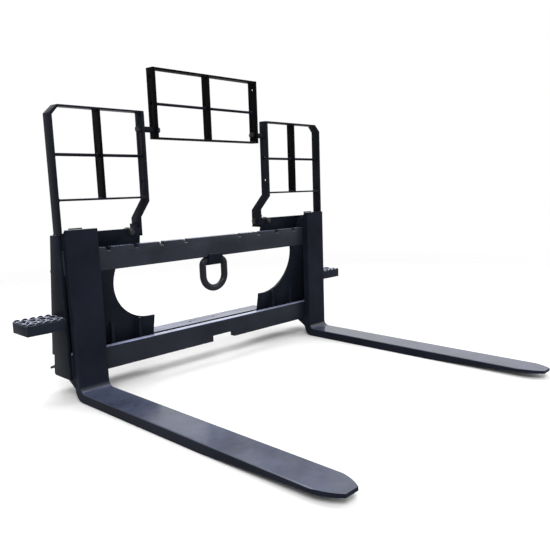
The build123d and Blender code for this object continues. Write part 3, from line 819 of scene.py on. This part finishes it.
def steel_paint(name, deep, light, bare_and_glint, dust_sheen_colour, rough, wear_and_glint, dust_sheen_amount, sheen,
                specular=0.02, forged=False):
    """Enamel on steel: drifting colour, worn edges lightened also by a painted highlight, orange
    peel, and on faces that look up dust with a painted sheen under a clear coat.
    """
    material, tree, shader, coordinates = start_material(name)
    film = group_node(tree, paint_film, coordinates, drift_scale=4.0 if forged else 6.0)
    worn_and_glint_node = group_node(tree, edge_wear_and_glint, coordinates, amount=wear_and_glint)
    dust_and_sheen_node = group_node(tree, dust_and_sheen, coordinates, amount=dust_sheen_amount)
    colour = blend_colour(tree, film.outputs["Drift"], deep, light)
    # Faces that look up take the dust colour: dust, and a painted sheen of reflected light
    colour = blend_colour(tree, dust_and_sheen_node.outputs["Mask"], colour, dust_sheen_colour)
    # Outside edges take the bare colour: worn paint, and a painted highlight
    colour = blend_colour(tree, worn_and_glint_node.outputs["Mask"], colour, bare_and_glint)
    tree.links.new(colour, shader.inputs["Base Color"])
    roughness = ramp(tree, film.outputs["Drift"], 0.0, 1.0, *rough)
    matt = math_node(tree, "MULTIPLY", dust_and_sheen_node.outputs["Mask"], 0.18)
    tree.links.new(math_node(tree, "ADD", roughness, matt), shader.inputs["Roughness"])
    shader.inputs["Specular IOR Level"].default_value = specular
    coat = ramp(tree, facing_up(tree), 0.3, 0.95, 0.0, sheen)
    tree.links.new(coat, shader.inputs["Coat Weight"])
    shader.inputs["Coat Roughness"].default_value = 0.2
    shader.inputs["Coat IOR"].default_value = 1.6
    shader.inputs["Coat Tint"].default_value = (0.86, 0.9, 1.0, 1.0)
    height = film.outputs["Peel"]
    distance = 0.12 * MM
    if forged:
        scale_marks = noise(tree, coordinates, 46.0, 5.0, 0.6)
        height = math_node(tree, "ADD", math_node(tree, "MULTIPLY", scale_marks, 2.4), height)
        distance = 0.3 * MM
    bump(tree, shader, height, 0.5, distance)
    return material


def zinc_plate(name):
    """Zinc on fasteners, dulled and cloudy."""
    material, tree, shader, coordinates = start_material(name)
    film = group_node(tree, paint_film, coordinates, drift_scale=60.0, peel_scale=1500.0)
    worn_and_glint_node = group_node(tree, edge_wear_and_glint, coordinates, amount=0.5, radius=0.8 * MM)
    drift = film.outputs["Drift"]
    colour = blend_colour(tree, drift, (0.022, 0.023, 0.026), (0.04, 0.04, 0.043))
    # Outside edges lighter: worn zinc, and a painted glint
    colour = blend_colour(tree, worn_and_glint_node.outputs["Mask"], colour, (0.22, 0.22, 0.22))
    tree.links.new(colour, shader.inputs["Base Color"])
    tree.links.new(ramp(tree, drift, 0.0, 1.0, 0.38, 0.55), shader.inputs["Roughness"])
    shader.inputs["Metallic"].default_value = 1.0
    bump(tree, shader, film.outputs["Peel"], 0.3, 0.05 * MM)
    return material


# Camera, where the photographer stood

camera_data = bpy.data.cameras.new("camera")
camera_data.sensor_width = 36.0
camera_data.lens = 40.694
camera_data.shift_x = -0.125
camera_data.shift_y = 0.0068
camera = bpy.data.objects.new("camera", camera_data)
bpy.context.scene.collection.objects.link(camera)
camera.matrix_world = (
    Matrix.Translation((-1.49343, -1.4147, 0.69054))
    @ Matrix.Rotation(math.radians(-50.08), 4, "Z")
    @ Matrix.Rotation(math.radians(-9.15), 4, "X")
    @ Matrix.Rotation(math.radians(0.88), 4, "Y")
    @ Matrix.Rotation(math.radians(90), 4, "X")
)
bpy.context.scene.camera = camera
bpy.context.scene.view_settings.view_transform = "Standard"

# Finishes: one for each slot, and some for pieces whose names start in a certain way

paint_film = paint_film_group()
edge_wear_and_glint = edge_wear_and_glint_group()
dust_and_sheen = dust_and_sheen_group()

# The dust colour on faces that look up is dust and a painted sheen; the bare colour on edges is
# worn paint and a painted highlight
finishes = {
    "frame_paint": steel_paint(
        "frame_enamel",
        deep=(0.005, 0.006, 0.010), light=(0.009, 0.011, 0.017),
        bare_and_glint=(0.07, 0.08, 0.11), dust_sheen_colour=(0.09, 0.11, 0.16),
        rough=(0.34, 0.46), wear_and_glint=0.30, dust_sheen_amount=0.35, sheen=1.0,
    ),
    # The blade tops' painted sheen: a light blue-grey dust colour, thick on faces that look up
    "fork_paint": steel_paint(
        "fork_enamel",
        deep=(0.006, 0.007, 0.012), light=(0.011, 0.013, 0.021),
        bare_and_glint=(0.09, 0.10, 0.14), dust_sheen_colour=(0.11, 0.125, 0.185),
        rough=(0.32, 0.44), wear_and_glint=0.30, dust_sheen_amount=0.8, sheen=1.0, forged=True,
    ),
    "guard_paint": steel_paint(
        "guard_enamel",
        deep=(0.005, 0.006, 0.009), light=(0.009, 0.010, 0.015),
        bare_and_glint=(0.06, 0.065, 0.08), dust_sheen_colour=(0.05, 0.055, 0.07),
        rough=(0.32, 0.42), wear_and_glint=0.25, dust_sheen_amount=0.15, sheen=0.3,
    ),
    # The tread's top gets a painted sheen from its lavender dust colour
    "tread_paint": steel_paint(
        "tread_enamel",
        deep=(0.009, 0.011, 0.017), light=(0.015, 0.018, 0.027),
        bare_and_glint=(0.22, 0.23, 0.29), dust_sheen_colour=(0.27, 0.30, 0.44),
        rough=(0.36, 0.50), wear_and_glint=0.55, dust_sheen_amount=0.75, sheen=1.0,
    ),
    "ring_paint": steel_paint(
        "ring_enamel",
        deep=(0.006, 0.007, 0.010), light=(0.010, 0.012, 0.016),
        bare_and_glint=(0.12, 0.12, 0.14), dust_sheen_colour=(0.05, 0.055, 0.07),
        rough=(0.30, 0.40), wear_and_glint=0.35, dust_sheen_amount=0.15, sheen=0.4, specular=0.12,
    ),
    "zinc": zinc_plate("zinc_plate"),
}
# A lit copy of the frame paint for the upper rail: lighter colours, and a painted highlight on
# its top from the dust colour
lit_rail_enamel = steel_paint(
    "lit_rail_enamel",
    deep=(0.010, 0.012, 0.018), light=(0.019, 0.022, 0.032),
    bare_and_glint=(0.10, 0.11, 0.15), dust_sheen_colour=(0.20, 0.23, 0.34),
    rough=(0.34, 0.46), wear_and_glint=0.35, dust_sheen_amount=0.7, sheen=1.0, specular=0.1,
)
# A lit copy of the frame paint for the lower rail: a painted highlight along its top, from a
# near-white dust colour
lit_low_rail_enamel = steel_paint(
    "lit_low_rail_enamel",
    deep=(0.008, 0.010, 0.015), light=(0.014, 0.016, 0.024),
    bare_and_glint=(0.12, 0.13, 0.18), dust_sheen_colour=(0.52, 0.54, 0.70),
    rough=(0.34, 0.46), wear_and_glint=0.35, dust_sheen_amount=1.3, sheen=1.0, specular=0.08,
)
# A shaded copy of the guard paint for the middle and centre bars: near black, painted shade
shaded_bar_enamel = steel_paint(
    "shaded_bar_enamel",
    deep=(0.0015, 0.0016, 0.002), light=(0.003, 0.0032, 0.004),
    bare_and_glint=(0.03, 0.03, 0.035), dust_sheen_colour=(0.02, 0.02, 0.025),
    rough=(0.40, 0.50), wear_and_glint=0.15, dust_sheen_amount=0.1, sheen=0.1, specular=0.01,
)
# Painted highlights on the grips' rims and teeth, from near-white bare and dust colours,
# together with worn paint
grip_enamel = steel_paint(
    "grip_enamel",
    deep=(0.009, 0.011, 0.017), light=(0.015, 0.018, 0.027),
    bare_and_glint=(0.52, 0.53, 0.62), dust_sheen_colour=(0.74, 0.76, 0.88),
    rough=(0.36, 0.50), wear_and_glint=1.0, dust_sheen_amount=1.5, sheen=1.0,
)
finish_by_name = {
    "step_grips": grip_enamel,
    "notched_rail": lit_rail_enamel,
    "lower_rail": lit_low_rail_enamel,
    "guard_middle_bar": shaded_bar_enamel,
    "centre_end_bar": shaded_bar_enamel,
    "centre_middle_bar": shaded_bar_enamel,
    "centre_top_bar": shaded_bar_enamel,
    "centre_bottom_bar": shaded_bar_enamel,
}
slot_of = {part["node"]: part["material_slot"] for part in frame["record"]["subparts"]}

# The attachment

notched_rail()
dressed_plate("lower_rail", 1.8, 3)
for side in ("left", "right"):
    for node, width in (
        ("side_plate", 0.9),
        ("window_plate", 0.9),
        ("coupler_plate", 0.9),
        ("hook_lip", 1.4),
        ("inner_gusset", 0.8),
        ("outer_gusset", 0.8),
        ("upper_rib", 0.8),
        ("lower_rib", 0.8),
        ("step", 0.5),
        ("upper_hook", 1.8),
        ("lower_hook", 1.8),
        ("guard_frame", 1.4),
        ("guard_upright", 1.0),
        ("guard_lower_bar", 1.4),
        ("guard_middle_bar", 1.4),
        ("foot_bracket", 1.0),
        ("centre_end_bar", 1.4),
    ):
        dressed_plate(f"{node}_{side}", width)
    trim_tip(dressed_plate(f"pin_ledge_{side}", 0.8))
for node, width in (
    ("tread", 1.0),
    ("ring_clip", 0.9),
    ("centre_top_bar", 1.4),
    ("centre_bottom_bar", 1.4),
    ("centre_middle_bar", 1.4),
    ("washers", 0.35),
):
    dressed_plate(node, width)

step_grips()
frame_welds()
guard_welds()
fork_welds()

# Bolts through the guard's leg, the coupler plate and the centre guard's spacer tube
through_coupler = (0, math.cos(COUPLER_LEAN), math.sin(COUPLER_LEAN))
leg_bolt = (277.0, 74.0, FOOT_BOLT_Z)
plate_bolt = (322.0, coupler_front_y(FOOT_BOLT_Z), FOOT_BOLT_Z)
centre_bolt = (GUARD_INNER_X, GUARD_MIDDLE_Y, CENTRE_BOLT_Z)
fasteners(
    "foot",
    [
        (leg_bolt, (1, 0, 0), PLATE + FOOT_BRACKET),
        (plate_bolt, through_coupler, 17.414),
    ],
)
fasteners("centre", [(centre_bolt, (-1, 0, 0), 2 * PLATE + SPACER)])

for piece in list(bpy.data.objects):
    if piece.type == "MESH":
        slot = slot_of.get(piece.get("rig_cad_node", ""), piece.get("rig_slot"))
        finish = finishes[slot]
        for start, named_finish in finish_by_name.items():
            if piece.name.startswith(start):
                finish = named_finish
        piece.data.materials.clear()
        piece.data.materials.append(finish)

# Floor, light and background

# The floor lies a hair under the forks and fades out away from the object
floor = new_piece(
    bpy.ops.mesh.primitive_circle_add,
    vertices=128,
    radius=9.0,
    fill_type="NGON",
    location=(0, 0, -0.3 * MM),
)
floor.name = "floor"
material, tree, shader, coordinates = start_material("studio_floor")
shader.inputs["Base Color"].default_value = (0.9, 0.9, 0.9, 1.0)
shader.inputs["Roughness"].default_value = 0.9
shader.inputs["Specular IOR Level"].default_value = 0.1
reach = add_node(tree, "ShaderNodeVectorMath", operation="LENGTH")
tree.links.new(coordinates, reach.inputs[0])
fade = ramp(tree, reach.outputs["Value"], 1.1, 4.2)
fade.node.interpolation_type = "SMOOTHSTEP"
clear = add_node(tree, "ShaderNodeBsdfTransparent")
mix = add_node(tree, "ShaderNodeMixShader")
tree.links.new(fade, mix.inputs["Fac"])
tree.links.new(shader.outputs["BSDF"], mix.inputs[1])
tree.links.new(clear.outputs["BSDF"], mix.inputs[2])
tree.links.new(mix.outputs["Shader"], tree.nodes["Material Output"].inputs["Surface"])
floor.data.materials.append(material)


def soft_lamp(name, location, size, power):
    """A round lamp that looks at the middle of the frame."""
    lamp_data = bpy.data.lights.new(name, "AREA")
    lamp_data.shape = "DISK"
    lamp_data.size = size
    lamp_data.energy = power
    lamp = bpy.data.objects.new(name, lamp_data)
    bpy.context.scene.collection.objects.link(lamp)
    lamp.location = location
    to_frame = Vector((0, 0.2, 0.4)) - lamp.location
    lamp.rotation_euler = to_frame.to_track_quat("-Z", "Y").to_euler()


soft_lamp("key", (-2.6, -2.4, 3.4), 2.4, 150)
soft_lamp("fill", (3.2, -2.2, 2.2), 3.0, 60)
soft_lamp("top", (0.2, 1.2, 3.8), 3.0, 90)

# A white background, dimmer as a light on the object
world = bpy.data.worlds.new("studio")
bpy.context.scene.world = world
world.use_nodes = True
tree = world.node_tree
background = tree.nodes["Background"]
background.inputs["Color"].default_value = (1.0, 1.0, 1.0, 1.0)
path = add_node(tree, "ShaderNodeLightPath")
seen = math_node(tree, "MAXIMUM", path.outputs["Is Camera Ray"], path.outputs["Is Glossy Ray"])
seen = math_node(tree, "MAXIMUM", seen, path.outputs["Is Transmission Ray"])
tree.links.new(ramp(tree, seen, 0.0, 1.0, 0.55, 1.0), background.inputs["Strength"])
